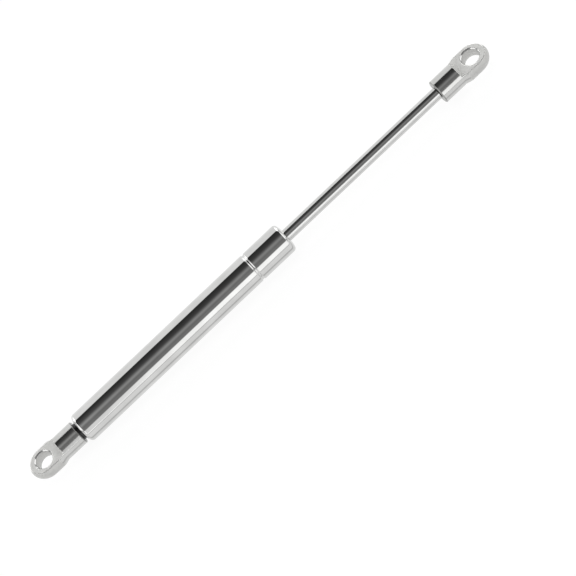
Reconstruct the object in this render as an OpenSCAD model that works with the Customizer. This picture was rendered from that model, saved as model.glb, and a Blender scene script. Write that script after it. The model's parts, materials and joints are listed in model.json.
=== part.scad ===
// Stainless gas strut with an eye at each end, drawn fully extended.
// The strut lies along +X and its origin is the centre of the tube eye's bore.
// Both eye bores run along Z, so the flat faces of the eyes are level.

/* [Strut] */
// Distance between the eye bores when fully extended
extended_length = 260; // [250:1:270]
// Stroke of the rod
stroke = 80; // [40:1:80]

/* [Pressure tube] */
// Outer diameter of the tube
tube_d = 15; // [14.8:0.1:15.4]
// Thickness of the tube's wall
tube_wall = 1; // [0.8:0.05:1.05]
// Length of the tube over its rolled ends
tube_length = 126; // [124:1:132]
// Outer radius of the bend at each rolled end
curl_r = 1.8; // [1.5:0.1:2]
// How far each end is bent over, in degrees
curl_angle = 74; // [70:1:80]
// Diameter of the opening that the rolled lip leaves
lip_d = 8.8; // [8.4:0.1:9.2]
// Distance of the rolled groove from the rod end
groove_from_end = 20.5; // [20.2:0.1:21]
// Depth of the rolled groove
groove_depth = 0.45; // [0.3:0.05:0.5]
// Radius at the bottom of the rolled groove
groove_r = 0.5; // [0.45:0.05:0.9]
// Radius of the groove's shoulders
shoulder_r = 0.4; // [0.3:0.05:0.8]

/* [Rod] */
// Diameter of the piston rod
rod_d = 6; // [5.9:0.05:6.1]
// Diameter of the stepped end that carries the piston
rod_step_d = 4; // [3.6:0.1:4.2]
// Diameter of the threads that hold the eyes
thread_d = 5; // [4.8:0.1:5.4]

/* [Eyes] */
// Diameter of each eye's bore
eye_bore_d = 8.5; // [8:0.1:8.7]
// Width of the chamfer round each end of the bore
bore_chamfer = 0.4; // [0.2:0.1:0.6]
// Thickness between the flat faces of an eye
eye_thickness = 6; // [5.6:0.1:6.4]
// Diameter of the turned head before its flats are cut
head_d = 13.7; // [13.4:0.1:14]
// Distance from the bore's centre to the tip of the oval nose
tip_reach = 8.2; // [8:0.1:8.6]
// Diameter of the shank
shank_d = 12; // [11.6:0.1:12.4]
// Chamfer at the open end of the shank
shank_chamfer = 0.4; // [0.2:0.1:0.8]
// Length of the cone between head and shank
neck_cone = 2.8; // [2:0.1:3.2]
// How far the flats run on past the cone
flat_overrun = 0.4; // [0.1:0.1:0.8]
// Distance from the bore to the end of the cone on the tube eye
tube_eye_neck = 8.4; // [8:0.1:8.8]
// Distance from the bore to the end of the cone on the rod eye
rod_eye_neck = 9.1; // [8:0.1:9.5]
// Distance from the bore to the open end of the tube eye
tube_eye_length = 19.5; // [19:0.1:20]
// Distance from the bore to the open end of the rod eye
rod_eye_length = 21; // [20.5:0.1:22]
// Depth of the threaded hole in each eye
eye_thread_depth = 9; // [8.8:0.1:9.4]
// How far the stud and the rod are screwed into their eyes
thread_grip = 8.3; // [7.5:0.1:8.4]

/* [Hidden] */
$fn = 96;
arc_steps = 12;

// Clearances: parts at rest in each other, and parts that slide on each other
fit_gap = 0.05;
run_gap = 0.05;

tube_r = tube_d / 2;
bore_r = tube_r - tube_wall;
rod_r = rod_d / 2;
step_r = rod_step_d / 2;
thread_r = thread_d / 2;
lip_r = lip_d / 2;
shank_r = shank_d / 2;

// The tube starts past the plug's boss, which stands out of it by the gap to the eye
eye_gap = 1;
tube_start = tube_eye_length + eye_gap;
tube_end = tube_start + tube_length;
rod_face = extended_length - rod_eye_length;

// Reach of a rolled end past the centre of its bend, at a depth below the outer surface
function curl_reach(depth) =
    (curl_r - depth) * sin(curl_angle)
    + (tube_r - curl_r + (curl_r - depth) * cos(curl_angle) - lip_r) / tan(curl_angle);
curl_start = tube_start + curl_reach(0);
curl_end = tube_end - curl_reach(0);

// The groove's circle stands outside the tube, and its shoulders touch it
groove_x = tube_end - groove_from_end;
groove_axis_r = tube_r - groove_depth + groove_r;
shoulder_angle = acos((groove_axis_r - tube_r + shoulder_r) / (groove_r + shoulder_r));
shoulder_x = (groove_r + shoulder_r) * sin(shoulder_angle);
bead_angle = acos((groove_axis_r - bore_r) / (groove_r + tube_wall));
bead_reach = (groove_r + tube_wall) * sin(bead_angle);

// Gland pieces, stacked from the groove's bead to the rolled lip
stack_gap = 0.1;
seat_start = groove_x + bead_reach + stack_gap;
seat_length = 1.2;
seal_start = seat_start + seat_length + stack_gap;
seal_length = 4.1;
support_start = seal_start + seal_length + stack_gap;
support_length = 1.1;
guide_start = support_start + support_length + stack_gap;
washer_rim = 0.5;
washer_start = curl_end - washer_rim;
guide_end = washer_start - fit_gap;
washer_bore_r = rod_r + 0.3;

// Guide sleeve with its liner, wiper and O-ring
guide_edge = 0.3;
wiper_length = 2.3;
wiper_r = rod_r + 1.7;
wiper_seat = guide_end - wiper_length - stack_gap;
liner_r = rod_r + 0.75;
liner_inset = 0.3;
liner_start = guide_start + liner_inset;
liner_length = wiper_seat - liner_inset - liner_start;
seal_ring_r = 0.6;
seal_groove_r = bore_r - 2 * seal_ring_r - stack_gap;
seal_groove_w = 2;
guide_groove_x = (guide_start + guide_end - 1) / 2;

// Plug at the closed end, and the stud through it
plug_length = 8.2;
plug_end = tube_start + plug_length;
plug_groove_x = tube_start + 4.7;
stud_head_r = 4;
stud_head_h = 2;
thread_chamfer = 0.6;

// Piston assembly, from the rebound stop inwards; the stop reaches through the bead to the seat
stop_start = groove_x - 2;
stop_play = 0.3;
stop_length = seat_start - stop_play - stop_start;
stop_edge = 0.4;
disc_r = 5.4;
valve_disc_h = 1.2;
piston_end = stop_start - valve_disc_h;
piston_length = 6.5;
piston_start = piston_end - piston_length;
piston_r = bore_r - 0.3;
piston_edge = 0.3;
ring_r = bore_r - run_gap;
ring_width = 2.3;
ring_groove_r = 5;
ring_x = (piston_start + piston_end) / 2;
orifice_d = 0.8;
orifice_offset = 3.6;
rear_disc_h = 1;
nut_flats = 7;
nut_h = 3.1;
nut_start = piston_start - rear_disc_h - nut_h;
rod_stub = 0.8;
rod_start = nut_start - rod_stub;
rod_edge = 0.3;

// How far the rod could go before its end meets the plug, with a margin left
assert(rod_start - plug_end > stroke, "the stroke is too long for this tube");

// Points along an arc round a centre, given as radius and distance along X
function arc_points(centre_r, centre_x, radius, start, finish) = [
    for (i = [0:arc_steps])
        let (angle = start + (finish - start) * i / arc_steps)
            [centre_r + radius * cos(angle), centre_x + radius * sin(angle)]];

function reversed(points) = [for (i = [len(points) - 1:-1:0]) points[i]];

// Points of a rolled end, from its widest to its lip, on a surface that lies deeper by depth
function curl_points(side, depth) =
    let (centre_x = side > 0 ? curl_end : curl_start)
        concat(
            arc_points(tube_r - curl_r, centre_x, curl_r - depth, 0, side * curl_angle),
            [[lip_r, centre_x + side * curl_reach(depth)]]);

// Points of a square groove for an O-ring, in an outer surface of a given radius
function seal_groove_points(x, outer) = [
    [outer, x - seal_groove_w / 2], [seal_groove_r, x - seal_groove_w / 2],
    [seal_groove_r, x + seal_groove_w / 2], [outer, x + seal_groove_w / 2]];

// A shape revolved about the strut's axis, drawn as [radius, distance along X]
module turned() {
    rotate([0, 90, 0])
        rotate_extrude()
            children();
}

// A plain ring round the strut's axis
module ring(start, length, outer, inner) {
    turned()
        translate([inner, start])
            square([outer - inner, length]);
}

// A ring with chamfered outer edges
module soft_ring(start, length, outer, inner, edge) {
    finish = start + length;
    turned()
        polygon([[inner, start], [outer - edge, start], [outer, start + edge],
            [outer, finish - edge], [outer - edge, finish], [inner, finish]]);
}

// Points of the tube's rolled groove, from the closed end towards the rod
function groove_points() = concat(
    arc_points(tube_r - shoulder_r, groove_x - shoulder_x, shoulder_r, 0, shoulder_angle),
    arc_points(groove_axis_r, groove_x, groove_r, 180 + shoulder_angle, 180 - shoulder_angle),
    arc_points(tube_r - shoulder_r, groove_x + shoulder_x, shoulder_r, -shoulder_angle, 0));

// One profile makes the wall: outer surface with its groove, then the bore with its bead
module pressure_tube() {
    color([0.8, 0.8, 0.8])
        turned()
            polygon(concat(
                reversed(curl_points(-1, 0)),
                groove_points(),
                curl_points(1, 0),
                reversed(curl_points(1, tube_wall)),
                arc_points(groove_axis_r, groove_x, groove_r + tube_wall, 180 - bead_angle, 180 + bead_angle),
                curl_points(-1, tube_wall)));
}

// The plug follows the rolled lip from inside, and its boss passes through the lip
module end_plug() {
    outer = bore_r - fit_gap;
    inner = thread_r + fit_gap;
    head = stud_head_r + fit_gap;
    boss = lip_r - fit_gap;
    color([0.7, 0.7, 0.7])
        turned()
            polygon(concat(
                [[inner, tube_eye_length], [boss, tube_eye_length],
                    [boss, curl_start - curl_reach(tube_wall + fit_gap)]],
                reversed(curl_points(-1, tube_wall + fit_gap)),
                seal_groove_points(plug_groove_x, outer),
                [[outer, plug_end], [head, plug_end], [head, plug_end - stud_head_h],
                    [inner, plug_end - stud_head_h]]));
}

// An O-ring in a groove at a place along the axis
module groove_seal(x) {
    color([0.12, 0.12, 0.12])
        turned()
            translate([bore_r - seal_ring_r - fit_gap, x])
                circle(seal_ring_r);
}

module end_plug_seal() {
    groove_seal(plug_groove_x);
}

module end_stud() {
    head_start = plug_end - stud_head_h;
    tip = tube_eye_length - thread_grip;
    color([0.65, 0.65, 0.65])
        turned()
            polygon([[0, tip], [thread_r - thread_chamfer, tip], [thread_r, tip + thread_chamfer],
                [thread_r, head_start],
                [stud_head_r, head_start], [stud_head_r, plug_end], [0, plug_end]]);
}

// Profile of the oval nose, from its tip to the widest part of the head
function nose_points() = [
    for (i = [0:arc_steps])
        let (angle = 90 * i / arc_steps)
            [head_d / 2 * sin(angle), -tip_reach * cos(angle)]];

// Turned blank of an eye: oval nose, head, cone, and a shank with a chamfered end
module eye_blank(length, neck_end) {
    turned()
        polygon(concat(
            nose_points(),
            [[head_d / 2, neck_end - neck_cone], [shank_r, neck_end], [shank_r, length - shank_chamfer],
                [shank_r - shank_chamfer, length], [0, length]]));
}

// Threaded hole in the open end of an eye, with a countersunk mouth
module eye_thread(length) {
    hole_r = thread_r + fit_gap;
    bottom = length - eye_thread_depth;
    turned()
        polygon([[0, bottom - hole_r / 2], [hole_r, bottom], [hole_r, length - thread_chamfer],
            [hole_r + 2 * thread_chamfer, length + thread_chamfer], [0, length + thread_chamfer]]);
}

// What is milled from one side of an eye: a flat, and the chamfer of the bore
module eye_flat(neck_end) {
    face = eye_thickness / 2;
    bore_edge_r = eye_bore_d / 2;
    translate([-2 * tip_reach, -head_d, face])
        cube([2 * tip_reach + neck_end + flat_overrun, 2 * head_d, head_d]);
    translate([0, 0, face - bore_chamfer])
        cylinder(h = 2 * bore_chamfer, r1 = bore_edge_r, r2 = bore_edge_r + 2 * bore_chamfer);
}

// An eye end fitting with its bore at the origin and its shank towards +X
module eye(length, neck_end) {
    difference() {
        eye_blank(length, neck_end);
        for (side = [0, 1])
            mirror([0, 0, side])
                eye_flat(neck_end);
        cylinder(h = 2 * eye_thickness, d = eye_bore_d, center = true);
        eye_thread(length);
    }
}

module tube_eye() {
    color([0.75, 0.75, 0.75])
        eye(tube_eye_length, tube_eye_neck);
}

module rod_eye() {
    color([0.75, 0.75, 0.75])
        translate([extended_length, 0, 0])
            mirror([1, 0, 0])
                eye(rod_eye_length, rod_eye_neck);
}

// The washer has the rolled lip's own slope on its outer face
module front_washer() {
    depth = tube_wall + fit_gap;
    color([0.6, 0.6, 0.6])
        turned()
            polygon(concat(
                [[washer_bore_r, washer_start], [tube_r - depth, washer_start]],
                curl_points(1, depth),
                [[washer_bore_r, curl_end + curl_reach(depth)]]));
}

module guide_sleeve() {
    outer = bore_r - fit_gap;
    color([0.75, 0.6, 0.3])
        turned()
            polygon(concat(
                [[liner_r, guide_start], [outer - guide_edge, guide_start],
                    [outer, guide_start + guide_edge]],
                seal_groove_points(guide_groove_x, outer),
                [[outer, guide_end], [wiper_r + fit_gap, guide_end], [wiper_r + fit_gap, wiper_seat],
                    [liner_r, wiper_seat]]));
}

module guide_liner() {
    color([0.35, 0.35, 0.33])
        ring(liner_start, liner_length, liner_r - fit_gap, rod_r + run_gap);
}

module guide_seal() {
    groove_seal(guide_groove_x);
}

// Wiper with a lip that leans outwards along the rod
module rod_wiper() {
    start = guide_end - wiper_length;
    tip = guide_end - stack_gap;
    rim = guide_end - 0.5;
    root = guide_end - 1.2;
    lip = rod_r + run_gap;
    relief = lip + 0.4;
    back = lip + 0.7;
    lip_wall = 0.35;
    color([0.1, 0.1, 0.1])
        turned()
            polygon([[relief, start], [wiper_r, start], [wiper_r, rim], [back, rim - 0.2],
                [lip + lip_wall, tip], [lip, tip], [lip, rim], [relief, root]]);
}

module seal_support() {
    color([0.9, 0.9, 0.86])
        ring(support_start, support_length, bore_r - fit_gap, rod_r + run_gap);
}

// Lip seal: a U section that opens towards the gas
module rod_seal() {
    inner = rod_r + run_gap;
    outer = bore_r - fit_gap;
    heel = seal_start + seal_length;
    crest = seal_start + 0.7;
    root = seal_start + 2.1;
    relief = 0.35;
    bevel = 0.3;
    lip = 0.8;
    lip_base = 1.2;
    color([0.12, 0.12, 0.12])
        turned()
            polygon([[inner + relief, heel], [inner + relief, crest + 0.7], [inner, crest],
                [inner + bevel, seal_start], [inner + lip, seal_start], [inner + lip_base, root],
                [outer - lip_base, root], [outer - lip, seal_start], [outer - bevel, seal_start],
                [outer, crest], [outer, heel]]);
}

module seal_seat() {
    color([0.6, 0.6, 0.6])
        ring(seat_start, seat_length, bore_r - fit_gap, washer_bore_r);
}

module piston_rod() {
    shoulder = stop_start;
    thread_end = rod_face + thread_grip;
    color([0.7, 0.7, 0.7])
        turned()
            polygon([[0, rod_start], [step_r - rod_edge, rod_start], [step_r, rod_start + rod_edge],
                [step_r, shoulder], [rod_r, shoulder], [rod_r, rod_face - rod_edge],
                [rod_r - rod_edge, rod_face], [thread_r, rod_face],
                [thread_r, thread_end - thread_chamfer], [thread_r - thread_chamfer, thread_end],
                [0, thread_end]]);
}

module stop_ring() {
    color([0.15, 0.15, 0.15])
        soft_ring(stop_start, stop_length, disc_r, rod_r + fit_gap, stop_edge);
}

module valve_disc() {
    color([0.6, 0.6, 0.6])
        ring(piston_end, valve_disc_h, disc_r, step_r + fit_gap);
}

// Piston with its ring groove and the small bleed hole that slows the stroke
module piston() {
    color([0.65, 0.66, 0.7])
        difference() {
            soft_ring(piston_start, piston_length, piston_r, step_r + fit_gap, piston_edge);
            ring(ring_x - ring_width / 2 - run_gap, ring_width + 2 * run_gap, tube_r, ring_groove_r);
            translate([piston_start - 1, 0, orifice_offset])
                rotate([0, 90, 0])
                    cylinder(h = piston_length + 2, d = orifice_d);
        }
}

module piston_ring() {
    color([0.2, 0.2, 0.2])
        ring(ring_x - ring_width / 2, ring_width, ring_r, ring_groove_r + run_gap);
}

module rear_disc() {
    color([0.6, 0.6, 0.6])
        ring(piston_start - rear_disc_h, rear_disc_h, disc_r, step_r + fit_gap);
}

module piston_nut() {
    color([0.7, 0.65, 0.4])
        translate([nut_start, 0, 0])
            rotate([0, 90, 0])
                difference() {
                    cylinder(h = nut_h, d = nut_flats / cos(30), $fn = 6);
                    translate([0, 0, -1])
                        cylinder(h = nut_h + 2, r = step_r + fit_gap);
                }
}

pressure_tube();
end_plug();
end_plug_seal();
end_stud();
tube_eye();
front_washer();
guide_sleeve();
guide_liner();
guide_seal();
rod_wiper();
seal_support();
rod_seal();
seal_seat();
piston_rod();
stop_ring();
valve_disc();
piston();
piston_ring();
rear_disc();
piston_nut();
rod_eye();
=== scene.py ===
import bpy
import json
import math
from mathutils import Matrix, Vector


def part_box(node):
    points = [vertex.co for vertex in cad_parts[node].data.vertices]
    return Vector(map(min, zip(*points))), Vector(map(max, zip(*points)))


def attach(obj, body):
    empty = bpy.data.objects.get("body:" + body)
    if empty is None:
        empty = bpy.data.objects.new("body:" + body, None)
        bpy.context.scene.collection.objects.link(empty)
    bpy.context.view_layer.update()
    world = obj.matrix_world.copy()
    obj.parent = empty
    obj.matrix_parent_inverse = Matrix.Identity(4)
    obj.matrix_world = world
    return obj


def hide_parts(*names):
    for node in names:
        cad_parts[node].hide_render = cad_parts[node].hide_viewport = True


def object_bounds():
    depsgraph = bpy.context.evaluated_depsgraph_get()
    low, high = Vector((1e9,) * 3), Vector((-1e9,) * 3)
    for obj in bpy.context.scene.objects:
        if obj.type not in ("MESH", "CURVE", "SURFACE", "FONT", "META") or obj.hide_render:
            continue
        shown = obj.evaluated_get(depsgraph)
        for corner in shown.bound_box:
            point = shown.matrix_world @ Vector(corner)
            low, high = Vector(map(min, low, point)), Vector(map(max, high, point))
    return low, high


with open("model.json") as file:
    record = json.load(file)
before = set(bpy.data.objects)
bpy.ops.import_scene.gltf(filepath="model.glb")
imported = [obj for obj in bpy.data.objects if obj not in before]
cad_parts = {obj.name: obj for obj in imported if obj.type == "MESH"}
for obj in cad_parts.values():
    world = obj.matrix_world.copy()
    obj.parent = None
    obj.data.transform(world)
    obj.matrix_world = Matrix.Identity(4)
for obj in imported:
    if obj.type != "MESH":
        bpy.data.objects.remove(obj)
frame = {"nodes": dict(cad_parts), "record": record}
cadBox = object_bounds()
mm = 0.001
mergeWithin = 0.0005 * mm    # points closer than this are one point
pickWithin = 0.002           # millimetres round a point of an outline that is to be rounded
smoothAngle = 32             # degrees; a sharper edge stays sharp
faceWeight = 80              # how far large faces keep their own normals, of 100
mounts = {m["name"]: m for m in frame["record"]["mounts"]}
tubeBore = Vector(mounts["tube_eye_bore"]["pos_m"])
rodBore = Vector(mounts["rod_eye_bore"]["pos_m"])
boreRadius = mounts["tube_eye_bore"]["dims"]["r_mm"]
print("frame loaded, CAD box", [round(v / mm, 2) for corner in cadBox for v in corner])


def toMm(node):
    low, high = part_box(node)
    return low / mm, high / mm


def onlySelect(ob):
    bpy.ops.object.select_all(action="DESELECT")
    ob.select_set(True)
    bpy.context.view_layer.objects.active = ob


def editMode(on):
    bpy.ops.object.mode_set(mode="EDIT" if on else "OBJECT")


def selectVertices(ob, test):
    # picks vertices by place, in millimetres, and leaves the object in edit mode
    editMode(True)
    bpy.context.tool_settings.mesh_select_mode = (True, False, False)
    bpy.ops.mesh.select_all(action="DESELECT")
    editMode(False)
    for v in ob.data.vertices:
        v.select = bool(test(v.co / mm))
    editMode(True)


def applyModifier(ob, kind, **settings):
    onlySelect(ob)
    mod = ob.modifiers.new(kind.title(), kind)
    for key, value in settings.items():
        setattr(mod, key, value)
    bpy.ops.object.modifier_apply(modifier=mod.name)


def closeShell(ob):
    editMode(True)
    bpy.ops.mesh.select_all(action="SELECT")
    bpy.ops.mesh.remove_doubles(threshold=mergeWithin)
    bpy.ops.mesh.normals_make_consistent(inside=False)
    editMode(False)


def lathe(name, outline, around, rounds=(), axis="X"):
    # outline: (distance along the axis, radius) in millimetres; rounds: (point number, set-back, segments)
    def place(point):
        along, radius = point
        spot = (along, 0, radius) if axis == "X" else (0, radius, along)
        return Vector(spot) * mm

    # a plane merged to one point is the start, and extrusion draws the outline from it
    bpy.ops.object.select_all(action="DESELECT")
    bpy.ops.mesh.primitive_plane_add(size=10 * mm)
    ob = bpy.context.object
    ob.name = ob.data.name = name
    editMode(True)
    bpy.ops.mesh.select_all(action="SELECT")
    bpy.ops.mesh.merge(type="CENTER")
    bpy.ops.transform.translate(value=place(outline[0]))
    for before, after in zip(outline, outline[1:]):
        bpy.ops.mesh.extrude_region_move(TRANSFORM_OT_translate={"value": place(after) - place(before)})
    bpy.ops.mesh.select_all(action="SELECT")
    bpy.ops.mesh.remove_doubles(threshold=mergeWithin)
    for number, setBack, segments in rounds:
        spot = place(outline[number]) / mm
        selectVertices(ob, lambda co, spot=spot: (co - spot).length < pickWithin)
        bpy.ops.mesh.bevel(offset=setBack * mm, segments=segments, affect="VERTICES")
    bpy.ops.mesh.select_all(action="SELECT")
    turn = (1, 0, 0) if axis == "X" else (0, 0, 1)
    bpy.ops.mesh.spin(steps=around, angle=2 * math.pi, center=(0, 0, 0), axis=turn)
    editMode(False)
    closeShell(ob)
    return ob


def cutWith(ob, cutter, operation="DIFFERENCE"):
    # the cutter is used up
    applyModifier(ob, "BOOLEAN", object=cutter, operation=operation, solver="EXACT")
    bpy.data.objects.remove(cutter)


def boreTool(low, high, radius, chamfer, around, axis="X", x=0):
    # a bore between two faces, with a 45 degree chamfer at each; x moves it along the strut
    wide = radius + chamfer + 1
    tool = lathe("boreTool", [
        (low - 1, 0), (low - 1, wide), (low + chamfer, radius),
        (high - chamfer, radius), (high + 1, wide), (high + 1, 0)], around, axis=axis)
    onlySelect(tool)
    tool.location.x = x * mm
    bpy.ops.object.transform_apply(location=True)
    return tool


def addCube(low, high):
    bpy.ops.object.select_all(action="DESELECT")
    middle = (Vector(low) + Vector(high)) / 2
    bpy.ops.mesh.primitive_cube_add(size=1, location=middle * mm)
    ob = bpy.context.object
    ob.scale = (Vector(high) - Vector(low)) * mm
    bpy.ops.object.transform_apply(location=True, rotation=True, scale=True)
    return ob


def smoothOver(ob):
    # large faces keep their own normals, and rounded edges take up the turn
    onlySelect(ob)
    bpy.ops.object.shade_smooth_by_angle(angle=math.radians(smoothAngle))
    applyModifier(ob, "WEIGHTED_NORMAL", mode="FACE_AREA", weight=faceWeight, keep_sharp=True)


def giveMaterials(ob, materials):
    ob.data.materials.clear()
    for material in materials:
        ob.data.materials.append(material)


def finishPiece(ob, node, body):
    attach(ob, body)
    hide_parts(node)
    print("made", ob.name, len(ob.data.polygons), "faces")


def linearColor(hexText):
    parts = [int(hexText[i:i + 2], 16) / 255 for i in (1, 3, 5)]
    return [p / 12.92 if p <= 0.04045 else ((p + 0.055) / 1.055) ** 2.4 for p in parts] + [1]


def addNode(tree, kind, settings=None, links=None):
    # settings name a property or an input; links give an input the output that feeds it
    node = tree.nodes.new(kind)
    for key, value in (settings or {}).items():
        if isinstance(key, str) and hasattr(node, key):
            setattr(node, key, value)
        else:
            node.inputs[key].default_value = value
    for key, source in (links or {}).items():
        tree.links.new(source, node.inputs[key])
    return node


def fillRamp(ramp, stops):
    # stops: (place from 0 to 1, grey level), in rising order
    band = ramp.color_ramp
    while len(band.elements) < len(stops):
        band.elements.new(0.5)
    for element, (place, level) in zip(band.elements, stops):
        element.position = place
    for element, (place, level) in zip(band.elements, stops):
        element.color = (level, level, level, 1)


def newMaterial(name):
    material = bpy.data.materials.new(name)
    material.use_nodes = True
    tree = material.node_tree
    tree.nodes.clear()
    return material, tree, addNode(tree, "ShaderNodeOutputMaterial")


def surfaceMaterial(name, look):
    # one build for every finish: colour and roughness drift in soft patches, tool lines or grain give the
    # fine relief, and a longer swell bends the reflections a little
    material, tree, out = newMaterial(name)
    place = addNode(tree, "ShaderNodeTexCoord").outputs["Object"]
    alongLine, acrossLine = 1 / (look["lineLength"] * mm), 1 / (look["lineWidth"] * mm)
    stretch = {
        "along": (alongLine, acrossLine, acrossLine),       # lines run with the strut, as drawing leaves them
        "around": (acrossLine, alongLine, alongLine),       # rings, as a lathe or a grinder leaves them
        "even": (acrossLine, acrossLine, acrossLine),       # no direction: blasted, tumbled or moulded
    }[look["lines"]]
    stretched = addNode(tree, "ShaderNodeMapping", {"Scale": stretch}, {"Vector": place})
    fine = addNode(tree, "ShaderNodeTexNoise", {"Scale": 1.0, "Detail": 4.0, "Roughness": 0.6},
                   {"Vector": stretched.outputs["Vector"]})
    patch = addNode(tree, "ShaderNodeTexNoise", {"Scale": 1 / (look["patchSize"] * mm), "Detail": 4.0},
                    {"Vector": place})
    swell = addNode(tree, "ShaderNodeTexNoise", {"Scale": 1 / (look["swellSize"] * mm), "Detail": 1.0},
                    {"Vector": place})
    both = addNode(tree, "ShaderNodeMath", {"operation": "MULTIPLY_ADD", 1: look["lineShare"]},
                   {0: fine.outputs["Fac"], 2: patch.outputs["Fac"]})
    spread = {"From Min": 0.35 + 0.35 * look["lineShare"], "From Max": 0.65 + 0.65 * look["lineShare"]}
    low, high = look["roughness"]
    rough = addNode(tree, "ShaderNodeMapRange", {**spread, "To Min": low, "To Max": high},
                    {"Value": both.outputs[0]})
    share = addNode(tree, "ShaderNodeMapRange", spread, {"Value": both.outputs[0]})
    tint = addNode(tree, "ShaderNodeValToRGB", None, {"Fac": share.outputs["Result"]})
    tint.color_ramp.elements[0].color = linearColor(look["dark"])
    tint.color_ramp.elements[1].color = linearColor(look["light"])
    relief = addNode(tree, "ShaderNodeBump", {"Strength": 1.0, "Distance": look["lineDepth"] * mm},
                     {"Height": fine.outputs["Fac"]})
    bend = addNode(tree, "ShaderNodeBump", {"Strength": 1.0, "Distance": look["swellDepth"] * mm},
                   {"Height": swell.outputs["Fac"], "Normal": relief.outputs["Normal"]})
    roughness = rough.outputs["Result"]
    if "edge" in look:
        # tumbling rounds an edge and leaves it glossier than the faces beside it
        edgeRadius, edgeRoughness = look["edge"]
        bevel = addNode(tree, "ShaderNodeBevel", {"samples": 6, "Radius": edgeRadius * mm})
        rounded = bevel.outputs["Normal"]
        tree.links.new(rounded, relief.inputs["Normal"])
        faceNormal = addNode(tree, "ShaderNodeNewGeometry").outputs["True Normal"]
        agree = addNode(tree, "ShaderNodeVectorMath", {"operation": "DOT_PRODUCT"},
                        {0: rounded, 1: faceNormal})
        # 1 on a face; from 6 to 14 degrees of turn the edge's own roughness takes over
        glossier = addNode(tree, "ShaderNodeMapRange",
                           {"From Min": 0.995, "From Max": 0.97, "To Max": edgeRoughness},
                           {"Value": agree.outputs["Value"], "To Min": roughness})
        roughness = glossier.outputs["Result"]
    shader = addNode(tree, "ShaderNodeBsdfPrincipled", look["shader"], {
        "Base Color": tint.outputs["Color"], "Roughness": roughness, "Normal": bend.outputs["Normal"]})
    tree.links.new(shader.outputs["BSDF"], out.inputs["Surface"])
    return material


metal = {"Metallic": 1.0}
nonMetal = {"Metallic": 0.0}

# cold-drawn stainless tube, buffed: a near mirror whose reflections carry faint lines along the tube
mirrorPolishedTube = surfaceMaterial("mirrorPolishedTube", {
    "shader": metal, "light": "#D7D7D6", "dark": "#CACAC9", "roughness": (0.03, 0.06), "patchSize": 9,
    "lines": "along", "lineLength": 60, "lineWidth": 0.5, "lineDepth": 0.0012, "lineShare": 0.5,
    "swellSize": 14, "swellDepth": 0.01})
# centreless-ground rod: bright, but the rings left by the wheel blur what it mirrors
groundPolishedRod = surfaceMaterial("groundPolishedRod", {
    "shader": metal, "light": "#D2D2D1", "dark": "#C8C8C7", "roughness": (0.08, 0.14), "patchSize": 5,
    "lines": "around", "lineLength": 4, "lineWidth": 0.12, "lineDepth": 0.0006, "lineShare": 0.6,
    "swellSize": 8, "swellDepth": 0.004})
# turned and buffed shank: a mirror with soft edges to its bands
buffedShank = surfaceMaterial("buffedShank", {
    "shader": metal, "light": "#CECECD", "dark": "#C4C4C2", "roughness": (0.1, 0.17), "patchSize": 4,
    "lines": "around", "lineLength": 5, "lineWidth": 0.15, "lineDepth": 0.0006, "lineShare": 0.6,
    "swellSize": 6, "swellDepth": 0.008})
# tumbled stainless: an even silver grey without bands, with a fine sandy grain; grain drawn at twice its size
satinLook = {
    "shader": metal, "light": "#D3D3D1", "dark": "#C3C3C1", "roughness": (0.46, 0.58), "patchSize": 3,
    "lines": "even", "lineLength": 1, "lineWidth": 0.3, "lineDepth": 0.022, "lineShare": 1.0,
    "swellSize": 4, "swellDepth": 0.02, "edge": (0.5, 0.14)}
tumbledSatinSteel = surfaceMaterial("tumbledSatinSteel", satinLook)
# the milled flats: the same tumbled steel as the turned sides, with a lighter colour painted on for the light
# that falls on these upward faces
tumbledFlatPaintedLight = surfaceMaterial("tumbledFlatPaintedLight", {
    **satinLook, "light": "#FAFAF8", "dark": "#EEEEEC", "roughness": (0.62, 0.74)})
# machined edge of a bore: bright where the tool cut it last
machinedChamfer = surfaceMaterial("machinedChamfer", {
    "shader": metal, "light": "#DADAD9", "dark": "#CBCBCA", "roughness": (0.1, 0.18), "patchSize": 2,
    "lines": "even", "lineLength": 1, "lineWidth": 0.2, "lineDepth": 0.0015, "lineShare": 0.5,
    "swellSize": 3, "swellDepth": 0.003})
# turned and not polished after: fine tool rings
turned = {"shader": metal, "lines": "around", "lineLength": 4, "lineWidth": 0.14, "lineDepth": 0.003,
          "lineShare": 0.8, "patchSize": 3, "swellSize": 6, "swellDepth": 0.003}
# end face and chamfer of a shank as the lathe left them: the rings and roughness are real, and the colour
# darker than the buffed sides is painted shade for the narrow gap between the shank and the tube
turnedEndFacePaintedShade = surfaceMaterial("turnedEndFacePaintedShade", {
    **turned, "light": "#A8A8A6", "dark": "#8E8E8C", "roughness": (0.25, 0.36)})
# turned stainless inside the strut: a dull shine
turnedStainless = surfaceMaterial("turnedStainless", {
    **turned, "light": "#C9C9C6", "dark": "#B2B2AF", "roughness": (0.2, 0.32)})
# moulded: a faint even grain
moulded = {"lines": "even", "lineLength": 1, "lineWidth": 0.3, "lineDepth": 0.004, "lineShare": 0.8,
           "patchSize": 2, "swellSize": 3, "swellDepth": 0.01}
# steel plug painted dark: painted shade for the dark ring seen in the gap behind the tube's eye
plugSteelPaintedShade = surfaceMaterial("plugSteelPaintedShade", {
    **turned, "light": "#4A4A4B", "dark": "#333334", "roughness": (0.28, 0.4)})
# sintered bronze guide: warm, matt and a little porous
sinteredBronze = surfaceMaterial("sinteredBronze", {
    **turned, "light": "#B08A5A", "dark": "#8E6C42", "roughness": (0.38, 0.52),
    "lines": "even", "lineWidth": 0.25, "lineDepth": 0.01})
# cast aluminium piston: light grey and dull, with turned rings
turnedAluminium = surfaceMaterial("turnedAluminium", {
    **turned, "light": "#C4C6C9", "dark": "#A9ABAE", "roughness": (0.3, 0.42)})
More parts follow.
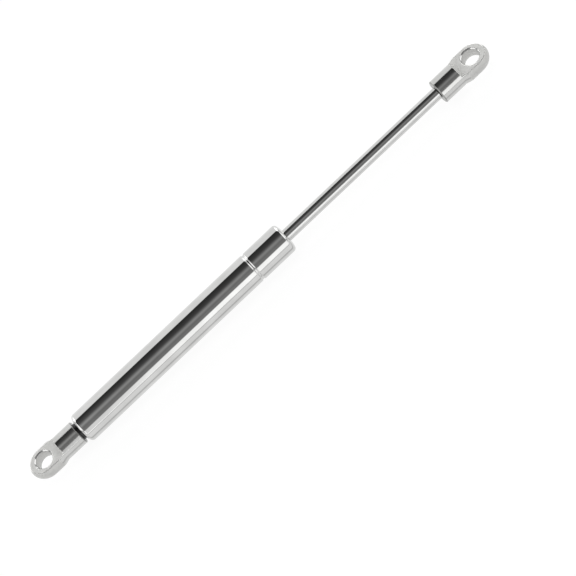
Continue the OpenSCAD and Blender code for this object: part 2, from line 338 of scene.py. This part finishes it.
# zinc-plated nut: a cool grey with a slight yellow cast
zincPlatedSteel = surfaceMaterial("zincPlatedSteel", {
    **turned, "light": "#C6C3B2", "dark": "#A5A291", "roughness": (0.24, 0.36),
    "lines": "even", "lineWidth": 0.3})
# filled dry bearing liner and piston ring: dark grey-brown, waxy
filledBearingPlastic = surfaceMaterial("filledBearingPlastic", {
    **moulded, "shader": nonMetal, "light": "#54504A", "dark": "#3B3833", "roughness": (0.4, 0.52)})
# white nylon back-up ring: soft sheen, slightly see-through at its edges
whiteNylon = surfaceMaterial("whiteNylon", {
    **moulded, "shader": {**nonMetal, "Subsurface Weight": 0.15, "Subsurface Scale": 1 * mm},
    "light": "#E9E7DF", "dark": "#D6D3C8", "roughness": (0.34, 0.46)})
# nitrile rubber seals: black with a dull bloom
nitrileRubber = surfaceMaterial("nitrileRubber", {
    **moulded, "shader": nonMetal, "light": "#26262A", "dark": "#141416", "roughness": (0.5, 0.68)})
print("materials made")


tubeLook = {
    "wall": 1.0, "bendRadius": 1.8, "bendAngle": 74, "lipRadius": 4.4, "lipEdge": 0.28, "groove": 20.5,
    "grooveDepth": 0.45, "grooveFlat": 0.25, "grooveHalf": 0.78, "shoulder": 0.25, "grooveRound": 0.24,
    "bead": 1.07, "beadDepth": 0.72, "beadRound": 0.9, "around": 160}


def makeTube(look):
    low, high = toMm("pressure_tube")
    start, end, radius = low.x, high.x, high.z
    bore = radius - look["wall"]
    lip = look["lipRadius"]
    bendAngle = math.radians(look["bendAngle"])
    rise = (radius - lip) / math.tan(bendAngle)
    wallAlong = look["wall"] / math.sin(bendAngle)
    inner = (bore - lip) / math.tan(bendAngle) + wallAlong
    grooveX = end - look["groove"]
    floorR = radius - look["grooveDepth"]
    outline = [
        (start, lip), (start + rise, radius),
        (grooveX - look["grooveHalf"], radius), (grooveX - look["grooveFlat"], floorR),
        (grooveX + look["grooveFlat"], floorR), (grooveX + look["grooveHalf"], radius),
        (end - rise, radius), (end, lip), (end - wallAlong, lip), (end - inner, bore),
        (grooveX + look["bead"], bore), (grooveX, bore - look["beadDepth"]), (grooveX - look["bead"], bore),
        (start + inner, bore), (start + wallAlong, lip), (start, lip)]
    bend = look["bendRadius"] * math.tan(bendAngle / 2)
    innerBend = (look["bendRadius"] - look["wall"]) * math.tan(bendAngle / 2)
    shoulder, grooveRound, lipEdge = look["shoulder"], look["grooveRound"], look["lipEdge"]
    rounds = [(1, bend, 14), (6, bend, 14), (9, innerBend, 8), (13, innerBend, 8),
              (2, shoulder, 6), (3, grooveRound, 6), (4, grooveRound, 6), (5, shoulder, 6),
              (11, look["beadRound"], 8),
              (7, lipEdge, 5), (8, lipEdge, 5), (14, lipEdge, 5), (0, lipEdge, 5)]
    ob = lathe("pressureTube", outline, look["around"], rounds)
    smoothOver(ob)
    giveMaterials(ob, [mirrorPolishedTube])
    finishPiece(ob, "pressure_tube", "cylinder")


makeTube(tubeLook)


eyeLook = {
    "thick": 6.0, "head": 6.85, "tip": 8.2, "nosePoints": 20, "shank": 6.0, "shankChamfer": 0.4, "cone": 2.8,
    "coneStart": 0.6, "coneEnd": 0.2, "overrun": 0.4, "boreChamfer": 0.4, "hole": 2.55, "holeDepth": 9.0,
    "holeMouth": 0.6, "softEdge": 0.5, "softOver": 50, "crispEdge": 0.1, "around": 128, "boreAround": 96}
tubeEyeLook = {"name": "tubeEye", "node": "tube_eye", "body": "cylinder", "boreX": tubeBore.x / mm, "way": 1,
               "length": 19.5, "neck": 8.4}
rodEyeLook = {"name": "rodEye", "node": "rod_eye", "body": "rod", "boreX": rodBore.x / mm, "way": -1,
              "length": 21.0, "neck": 9.1}
# the flat finish carries painted light and the end finish painted shade
eyeFinishes = {"head": tumbledSatinSteel, "shank": buffedShank, "boreEdge": machinedChamfer,
               "flat": tumbledFlatPaintedLight, "end": turnedEndFacePaintedShade}


def makeEye(eye, look):
    # distances are taken from the bore; way is the side on which the shank lies
    boreX, way, length, neck = eye["boreX"], eye["way"], eye["length"], eye["neck"]

    def along(x):
        return boreX + way * x

    # turned blank
    quarter = [math.pi / 2 * i / look["nosePoints"] for i in range(look["nosePoints"] + 1)]
    nose = [(along(-look["tip"] * math.cos(a)), look["head"] * math.sin(a)) for a in quarter]
    body = [(along(neck - look["cone"]), look["head"]), (along(neck), look["shank"]),
            (along(length - look["shankChamfer"]), look["shank"]),
            (along(length), look["shank"] - look["shankChamfer"]),
            (along(length), look["hole"] + look["holeMouth"]),
            (along(length - look["holeMouth"]), look["hole"]),
            (along(length - look["holeDepth"]), look["hole"]),
            (along(length - look["holeDepth"] - look["hole"] / 2), 0)]
    first = len(nose)
    rounds = [(first, look["coneStart"], 4), (first + 1, look["coneEnd"], 3),
              (first + 2, look["crispEdge"], 3), (first + 3, look["crispEdge"], 3)]
    ob = lathe(eye["name"], nose + body, look["around"], rounds)

    # flats
    half = look["thick"] / 2
    clear = 2 * look["shank"]
    span = sorted([along(-look["tip"] - clear), along(neck + look["overrun"])])
    for side in (-1, 1):
        edge = sorted([side * half, side * clear])
        cutWith(ob, addCube((span[0], -clear, edge[0]), (span[1], clear, edge[1])))

    # bore with its chamfers
    cutWith(ob, boreTool(-half, half, boreRadius, look["boreChamfer"], look["boreAround"], "Z", boreX))
    closeShell(ob)
    # the sharp edges are broken, those of the chamfers aren't: clamping keeps this to about a hundredth of a
    # millimetre, and the rounded look of a tumbled edge comes from its finish
    applyModifier(ob, "BEVEL", width=look["softEdge"] * mm, segments=3, limit_method="ANGLE",
                  angle_limit=math.radians(look["softOver"]), use_clamp_overlap=True, harden_normals=False)
    closeShell(ob)
    smoothOver(ob)

    # finishes by place, from the middle of each face; tilt is 1 on a flat and 0 on an upright side
    giveMaterials(ob, eyeFinishes.values())
    number = {name: i for i, name in enumerate(eyeFinishes)}
    near = 0.05          # leeway in millimetres
    wallTilt, sideTilt, endTurn, flatTilt = 0.1, 0.6, 0.9, 0.97
    coneStart = neck - look["cone"] - 2 * near
    endStart = length - look["shankChamfer"] - look["crispEdge"] / 4
    for face in ob.data.polygons:
        middle = face.center / mm
        fromBore = way * (middle.x - boreX)
        tilt = abs(face.normal.z)
        onCone = fromBore > coneStart and math.hypot(middle.y, middle.z) > half + near
        reach = math.hypot(middle.x - boreX, middle.y)
        inBore = reach < boreRadius + look["boreChamfer"] + near and abs(middle.z) < half - near
        if fromBore > endStart:
            part = "end"
        elif onCone and (tilt < sideTilt or fromBore > neck) and abs(face.normal.x) < endTurn:
            part = "shank"
        elif inBore and tilt > wallTilt:
            part = "boreEdge"
        elif tilt > flatTilt and abs(middle.z) > half - near:
            part = "flat"
        else:
            part = "head"
        face.material_index = number[part]
    finishPiece(ob, eye["node"], eye["body"])


makeEye(tubeEyeLook, eyeLook)
makeEye(rodEyeLook, eyeLook)


# Threads are drawn as rings of the real pitch and about the real depth, without its lead: the eyes hide them.
threadLook = {"radius": 2.5, "pitch": 0.8, "depth": 0.4, "tipChamfer": 0.6}


def threadPoints(start, end, look):
    # crests and roots from one end to the other, in the direction of the outline
    way = 1 if end > start else -1
    turns = int(abs(end - start) / look["pitch"])
    points = [(start, look["radius"])]
    for turn in range(turns):
        points.append((start + way * look["pitch"] * (turn + 0.5), look["radius"] - look["depth"]))
        points.append((start + way * look["pitch"] * (turn + 1), look["radius"]))
    return points


rodLook = {"radius": 3.0, "edge": 0.3, "shoulderEdge": 0.15, "stepRadius": 2.0, "stepEdge": 0.3,
           "threadRelief": 0.5, "around": 96}


def makeRod(look, thread):
    # stepped end inside the piston, ground rod, and the thread inside its eye
    low, high = toMm("piston_rod")
    faceX = toMm("rod_eye")[0].x
    shoulder = toMm("stop_ring")[0].x
    tip = thread["tipChamfer"]
    outline = [
        (low.x, 0), (low.x, look["stepRadius"] - look["stepEdge"]),
        (low.x + look["stepEdge"], look["stepRadius"]), (shoulder, look["stepRadius"]),
        (shoulder, look["radius"]), (faceX - look["edge"], look["radius"]),
        (faceX, look["radius"] - look["edge"]), (faceX, thread["radius"]),
        *threadPoints(faceX + look["threadRelief"], high.x - tip, thread),
        (high.x - tip, thread["radius"]), (high.x, thread["radius"] - tip), (high.x, 0)]
    ob = lathe("pistonRod", outline, look["around"], [(4, look["shoulderEdge"], 3)])
    smoothOver(ob)
    giveMaterials(ob, [groundPolishedRod])
    finishPiece(ob, "piston_rod", "rod")


makeRod(rodLook, threadLook)


studLook = {"headRadius": 4.0, "headHeight": 2.0, "headEdge": 0.25, "around": 96}


def makeStud(look, thread):
    # its thread reaches into the eye, and its head rests in the plug
    low, high = toMm("end_stud")
    seat = toMm("tube_eye")[1].x
    under = high.x - look["headHeight"]
    tip = thread["tipChamfer"]
    outline = [
        (low.x, 0), (low.x, thread["radius"] - tip), *threadPoints(low.x + tip, seat, thread),
        (seat, thread["radius"]), (under, thread["radius"]), (under, look["headRadius"]),
        (high.x, look["headRadius"]), (high.x, 0)]
    ob = lathe("endStud", outline, look["around"], [(len(outline) - 2, look["headEdge"], 3)])
    smoothOver(ob)
    giveMaterials(ob, [turnedStainless])
    finishPiece(ob, "end_stud", "cylinder")


makeStud(studLook, threadLook)


nutLook = {"flats": 7.0, "bore": 2.05, "cornerChamfer": 0.45, "cornerSlope": 30, "boreChamfer": 0.35,
           "clear": 0.01, "around": 96}


def makeNut(look):
    # six-sided bar, its corners turned off at both ends, bored through
    low, high = toMm("piston_nut")
    start, end = low.x, high.x
    corner = look["flats"] / 2 / math.cos(math.pi / 6)      # half the width across corners
    bpy.ops.object.select_all(action="DESELECT")
    bpy.ops.mesh.primitive_cylinder_add(vertices=6, radius=corner * mm, depth=(end - start) * mm)
    ob = bpy.context.object
    ob.name = ob.data.name = "pistonNut"
    ob.rotation_euler = (0, math.pi / 2, 0)
    ob.location.x = (start + end) / 2 * mm
    bpy.ops.object.transform_apply(location=True, rotation=True, scale=True)
    slant = look["cornerChamfer"] * math.tan(math.radians(look["cornerSlope"]))
    outer, inner = corner + look["clear"], corner - look["cornerChamfer"]
    cutWith(ob, lathe("cornerTool", [
        (start, 0), (start, inner), (start + slant, outer), (end - slant, outer), (end, inner), (end, 0)],
        look["around"]), "INTERSECT")
    cutWith(ob, boreTool(start, end, look["bore"], look["boreChamfer"], look["around"]))
    closeShell(ob)
    smoothOver(ob)
    giveMaterials(ob, [zincPlatedSteel])
    finishPiece(ob, "piston_nut", "rod")


makeNut(nutLook)


# The other pieces inside the tube keep their CAD shapes and get their finishes; the plug's dark colour is
# painted shade for the gap behind the tube's eye.
finishOf = {
    "end_plug": plugSteelPaintedShade, "end_plug_seal": nitrileRubber, "front_washer": turnedStainless,
    "guide_sleeve": sinteredBronze, "guide_liner": filledBearingPlastic,
    "guide_seal": nitrileRubber, "rod_wiper": nitrileRubber, "seal_support": whiteNylon,
    "rod_seal": nitrileRubber, "seal_seat": turnedStainless, "stop_ring": nitrileRubber,
    "valve_disc": turnedStainless, "piston": turnedAluminium, "piston_ring": filledBearingPlastic,
    "rear_disc": turnedStainless}
for nodeName, finish in finishOf.items():
    giveMaterials(frame["nodes"][nodeName], [finish])
print("finished the inner pieces")


# Painted shade and painted light in the floor's glow for mirrored rays: what the strut mirrors of the floor
# in front of it, metres from its axis, and brightness. A painted soft shade lies close to the strut and a
# faint one further off, and they leave two thin grey lines along the lower half of the tube; further off the
# glow is painted brighter than white. What the camera sees is plain. The gap under the strut is in
# millimetres.
floorLook = {
    "size": 6, "gap": 0.02, "grey": 0.14, "level": 0.9, "reach": 0.25,
    "shades": [(-0.25, 1.5), (-0.22, 1.4), (-0.15, 0.6), (-0.08, 0.6), (-0.062, 0.87), (-0.0158, 0.88),
               (-0.0146, 0.5), (-0.0128, 0.5), (-0.011, 0.84), (0, 0.9)]}


def makeFloor(look):
    lowest = cadBox[0].z
    middleX = (tubeBore.x + rodBore.x) / 2
    bpy.ops.object.select_all(action="DESELECT")
    bpy.ops.mesh.primitive_plane_add(size=look["size"], location=(middleX, 0, lowest - look["gap"] * mm))
    floor = bpy.context.object
    floor.name = "studioFloor"
    material, tree, out = newMaterial("whiteStudioFloor")
    place = addNode(tree, "ShaderNodeTexCoord").outputs["Object"]
    parts = addNode(tree, "ShaderNodeSeparateXYZ", None, {"Vector": place})
    # painted shade and light: for mirrored rays the glow darkens and brightens with the distance in front of
    # the strut
    share = addNode(tree, "ShaderNodeMapRange", {"From Min": -look["reach"], "From Max": 0.0},
                    {"Value": parts.outputs["Y"]})
    shades = addNode(tree, "ShaderNodeValToRGB", None, {"Fac": share.outputs["Result"]})
    fillRamp(shades, [(1 + y / look["reach"], level) for y, level in look["shades"]])
    shaded = addNode(tree, "ShaderNodeEmission", {"Strength": 1.0}, {"Color": shades.outputs["Color"]})
    glow = addNode(tree, "ShaderNodeEmission", {"Color": (1, 1, 1, 1), "Strength": look["level"]})
    seen = addNode(tree, "ShaderNodeLightPath").outputs["Is Camera Ray"]
    light = addNode(tree, "ShaderNodeMixShader", None, {0: seen, 1: shaded.outputs[0], 2: glow.outputs[0]})
    grey = look["grey"]
    matte = addNode(tree, "ShaderNodeBsdfDiffuse", {"Color": (grey, grey, grey, 1)})
    both = addNode(tree, "ShaderNodeAddShader", None, {0: light.outputs[0], 1: matte.outputs[0]})
    tree.links.new(both.outputs[0], out.inputs["Surface"])
    floor.data.materials.append(material)


# Brightness of the studio round the strut: degrees from straight up, positive towards the camera's side.
# A long dark card with a lit seam hangs over the strut, and a strip light stands low in front of it.
# The strip fades to the left, the light behind the strut is stronger to both sides, and white walls stand
# past the card's ends. Each start is where a zone begins and where it is complete: 0 is square to the strut,
# 1 is along it, and minus is to the left.
studioLook = {
    "middle": [(-180, 0.98), (-41.5, 1.0), (-38, 0.035), (-26, 0.036), (-14, 0.05), (-3, 0.062), (4, 0.1),
               (11, 0.18), (18, 0.29), (24, 0.33), (31, 0.26), (38, 0.2), (46, 0.235), (59, 0.24),
               (64.5, 1.46), (87, 1.5), (92, 1.0), (180, 0.98)],
    "left": [(-180, 0.98), (-41.5, 1.0), (-38, 0.035), (-26, 0.036), (-14, 0.07), (-3, 0.1), (4, 0.16),
             (11, 0.3), (18, 0.44), (24, 0.44), (31, 0.26), (38, 0.2), (46, 0.22), (59, 0.22),
             (64.5, 0.56), (87, 0.6), (92, 1.0), (180, 0.98)],
    "sides": [(-180, 1.0), (-150, 1.9), (-41.5, 1.9), (-38, 0.035), (-26, 0.036), (-3, 0.062), (18, 0.3),
              (31, 0.26), (59, 0.24), (64.5, 1.34), (87, 1.4), (92, 1.0), (180, 0.98)],
    "ends": [(-180, 0.6), (-60, 0.5), (-40, 0.9), (-30, 1.5), (50, 1.5), (64, 0.45), (100, 0.5),
             (180, 0.8)],
    "leftStart": (-0.02, -0.2), "sideStart": (0.22, 0.34), "endStart": (0.66, 0.76)}


def makeWorld(look):
    world = bpy.data.worlds.new("softStudio")
    bpy.context.scene.world = world
    world.use_nodes = True
    tree = world.node_tree
    tree.nodes.clear()
    direction = addNode(tree, "ShaderNodeTexCoord").outputs["Generated"]
    parts = addNode(tree, "ShaderNodeSeparateXYZ", None, {"Vector": direction})
    front = addNode(tree, "ShaderNodeMath", {"operation": "MULTIPLY", 1: -1.0}, {0: parts.outputs["Y"]})
    angle = addNode(tree, "ShaderNodeMath", {"operation": "ARCTAN2"},
                    {0: front.outputs[0], 1: parts.outputs["Z"]})
    sideways = addNode(tree, "ShaderNodeMath", {"operation": "ABSOLUTE"}, {0: parts.outputs["X"]})
    share = addNode(tree, "ShaderNodeMapRange", {"From Min": -math.pi, "From Max": math.pi},
                    {"Value": angle.outputs[0]})

    def zone(bands):
        ramp = addNode(tree, "ShaderNodeValToRGB", None, {"Fac": share.outputs["Result"]})
        fillRamp(ramp, [((degrees + 180) / 360, level) for degrees, level in bands])
        light = addNode(tree, "ShaderNodeBackground", {"Strength": 1.0}, {"Color": ramp.outputs["Color"]})
        return light.outputs[0]

    def rise(value, limits):
        soft = {"interpolation_type": "SMOOTHSTEP", "From Min": limits[0], "From Max": limits[1]}
        return addNode(tree, "ShaderNodeMapRange", soft, {"Value": value}).outputs["Result"]

    def mix(share, low, high):
        return addNode(tree, "ShaderNodeMixShader", None, {0: share, 1: low, 2: high}).outputs[0]

    studio = mix(rise(parts.outputs["X"], look["leftStart"]), zone(look["middle"]), zone(look["left"]))
    studio = mix(rise(sideways.outputs[0], look["sideStart"]), studio, zone(look["sides"]))
    studio = mix(rise(sideways.outputs[0], look["endStart"]), studio, zone(look["ends"]))
    white = addNode(tree, "ShaderNodeBackground", {"Color": (1, 1, 1, 1), "Strength": 1.0})
    seen = addNode(tree, "ShaderNodeLightPath").outputs["Is Camera Ray"]
    addNode(tree, "ShaderNodeOutputWorld", None, {"Surface": mix(seen, studio, white.outputs[0])})


# the strut runs up to the right and is seen from 53 degrees above its eyes' flats, from 0.87 m away
cameraLook = {"lens": 122, "sensor": 36, "frameWidth": 0.256, "lookDown": 53.2, "roll": 43.38,
              "boreLeft": 0.1071, "boreBelow": 0.0773, "clip": (0.05, 50)}


def makeCamera(look):
    distance = look["frameWidth"] * look["lens"] / look["sensor"]
    lookDown, roll = math.radians(look["lookDown"]), math.radians(look["roll"])
    view = Vector((0, math.cos(lookDown), -math.sin(lookDown)))
    across = Vector((0, math.sin(lookDown), math.cos(lookDown)))
    along = Vector((1, 0, 0))
    right = along * math.cos(roll) - across * math.sin(roll)
    up = along * math.sin(roll) + across * math.cos(roll)
    middle = tubeBore + right * look["boreLeft"] + up * look["boreBelow"]
    data = bpy.data.cameras.new("mainCamera")
    data.lens, data.sensor_width = look["lens"], look["sensor"]
    data.clip_start, data.clip_end = look["clip"]
    cam = bpy.data.objects.new("mainCamera", data)
    bpy.context.scene.collection.objects.link(cam)
    turn = Matrix((right, up, -view)).transposed()
    cam.matrix_world = Matrix.Translation(middle - view * distance) @ turn.to_4x4()
    bpy.context.scene.camera = cam


lampLook = {"length": 1.2, "width": 0.8, "watts": 6, "place": (0.1, 0.2, 1.5)}


def makeLamp(look):
    # aimed at the middle of the strut, and not mirrored in it
    data = bpy.data.lights.new("overheadSoftbox", "AREA")
    data.shape = "RECTANGLE"
    data.size, data.size_y, data.energy = look["length"], look["width"], look["watts"]
    lamp = bpy.data.objects.new("overheadSoftbox", data)
    bpy.context.scene.collection.objects.link(lamp)
    lamp.location = look["place"]
    aim = (tubeBore + rodBore) / 2 - lamp.location
    lamp.rotation_euler = aim.to_track_quat("-Z", "Y").to_euler()
    lamp.visible_glossy = False


makeFloor(floorLook)
makeWorld(studioLook)
makeCamera(cameraLook)
makeLamp(lampLook)
bpy.context.scene.view_settings.view_transform = "Standard"
print("stage ready")
